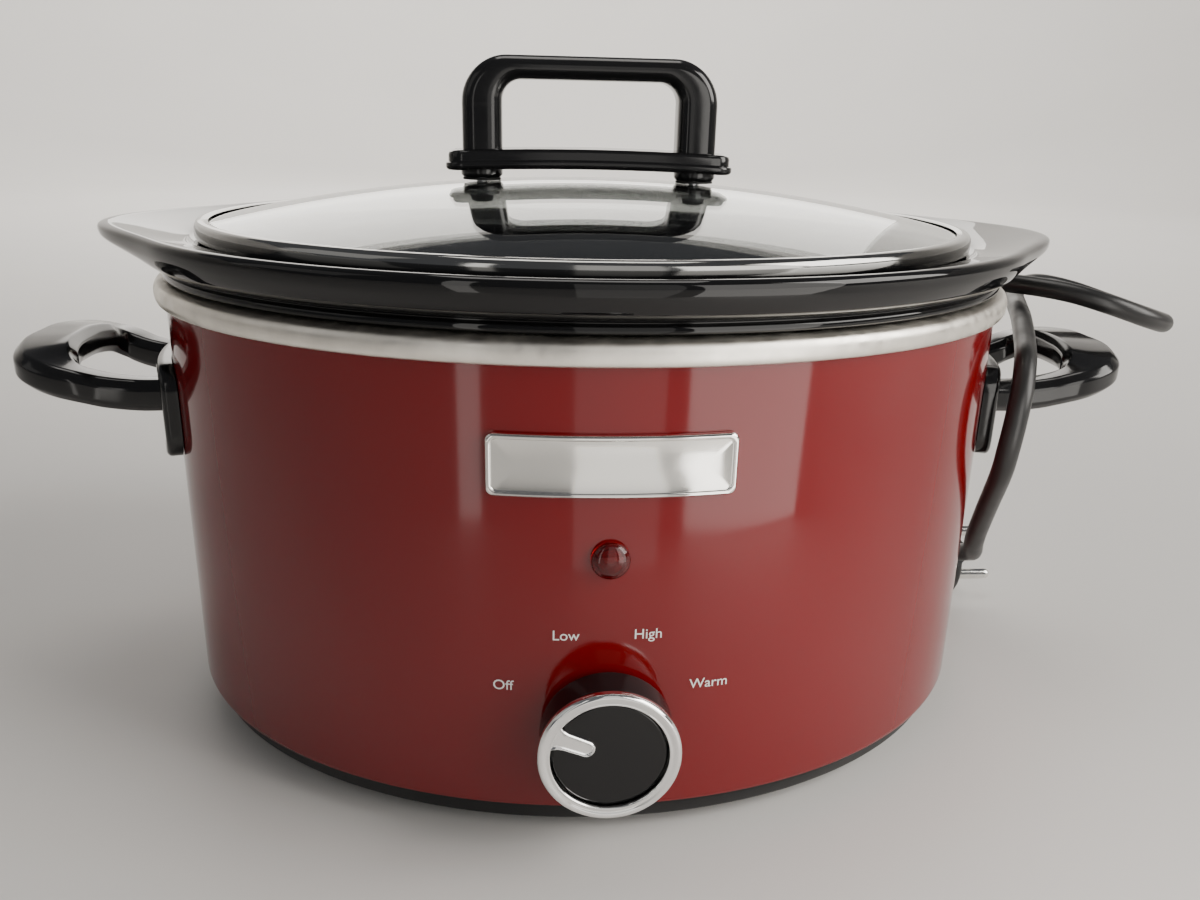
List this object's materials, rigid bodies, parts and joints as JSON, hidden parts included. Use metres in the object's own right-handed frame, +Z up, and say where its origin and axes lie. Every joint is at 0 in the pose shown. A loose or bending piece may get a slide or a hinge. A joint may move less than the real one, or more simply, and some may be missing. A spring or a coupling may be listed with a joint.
{
  "type": "slow cooker",
  "caption": "Oval slow cooker: red heated base with side handles, control knob and lamp, lift-out black stoneware pot and domed glass lid with a loop handle, mains cord and plug.",
  "frame": {"origin": "centre of the object's own footprint (cord, strain relief and plug left out) on the surface that the feet stand on", "axes": "+Z up, +X towards the right side handle, -Y towards the control knob"},
  "size_m": [0.4194, 0.3222, 0.2187],
  "materials": {
    "red_paint": "gloss",
    "satin_aluminium": "satin",
    "base_plastic": "satin",
    "black_plastic": "gloss",
    "foot_rubber": "matt",
    "zinc_steel": "satin",
    "heater_foil": "satin",
    "fibre_blanket": "matt",
    "fuse_ceramic": "satin",
    "brown_sleeve": "satin",
    "blue_sleeve": "satin",
    "red_sleeve": "satin",
    "white_sleeve": "satin",
    "brass": "satin",
    "pin_metal": "polished",
    "red_lens": "gloss, translucent",
    "neon_glass": "clear",
    "chrome": "polished",
    "cord_sheath": "satin",
    "black_glaze": "gloss",
    "clear_glass": "polished, clear"
  },
  "bodies": {
    "base": {"outer_shell": "red_paint", "heating_well": "satin_aluminium", "base_tray": "base_plastic", "foot_front_left": "foot_rubber", "foot_front_right": "foot_rubber", "foot_rear_left": "foot_rubber", "foot_rear_right": "foot_rubber", "heater_band": "heater_foil", "heater_spring": "zinc_steel", "insulation_wrap": "fibre_blanket", "thermal_fuse": "fuse_ceramic", "fuse_clip": "zinc_steel", "terminal_block": "base_plastic", "wire_live": "brown_sleeve", "wire_neutral": "blue_sleeve", "wire_high": "red_sleeve", "wire_low": "white_sleeve", "earth_tag": "brass", "well_stud": "zinc_steel", "base_screw": "zinc_steel", "rotary_switch": "base_plastic", "switch_nut": "zinc_steel", "indicator_lens": "red_lens", "indicator_lamp": "neon_glass", "lens_clip": "zinc_steel", "badge": "chrome", "side_handle_left": "black_plastic", "side_handle_right": "black_plastic", "handle_screw_left_front": "zinc_steel", "handle_screw_left_rear": "zinc_steel", "handle_screw_right_front": "zinc_steel", "handle_screw_right_rear": "zinc_steel", "strain_relief": "cord_sheath", "power_cord": "cord_sheath", "plug": "cord_sheath", "plug_pin_live": "pin_metal", "plug_pin_neutral": "pin_metal"},
    "knob": {"knob": "black_plastic", "knob_trim_ring": "chrome", "knob_insert": "black_plastic", "switch_shaft": "zinc_steel"},
    "pot": {"stoneware_pot": "black_glaze"},
    "lid": {"lid_glass": "clear_glass", "lid_rim": "chrome", "lid_handle": "black_plastic", "lid_gasket_left": "foot_rubber", "lid_gasket_right": "foot_rubber", "lid_washer_left": "zinc_steel", "lid_washer_right": "zinc_steel", "lid_screw_left": "zinc_steel", "lid_screw_right": "zinc_steel"}
  },
  "joints": [
    {"name": "knob_turn", "type": "hinge", "parent": "base", "child": "knob", "pos_m": [0, -0.1114, 0.0393], "axis": [0, 1, 0], "range_deg": [0, 135]},
    {"name": "pot_lift", "type": "slide", "parent": "base", "child": "pot", "axis": [0, 0, 1], "range_m": [0, 0.16]},
    {"name": "lid_lift", "type": "slide", "parent": "pot", "child": "lid", "axis": [0, 0, 1], "range_m": [0, 0.12]}
  ]
}
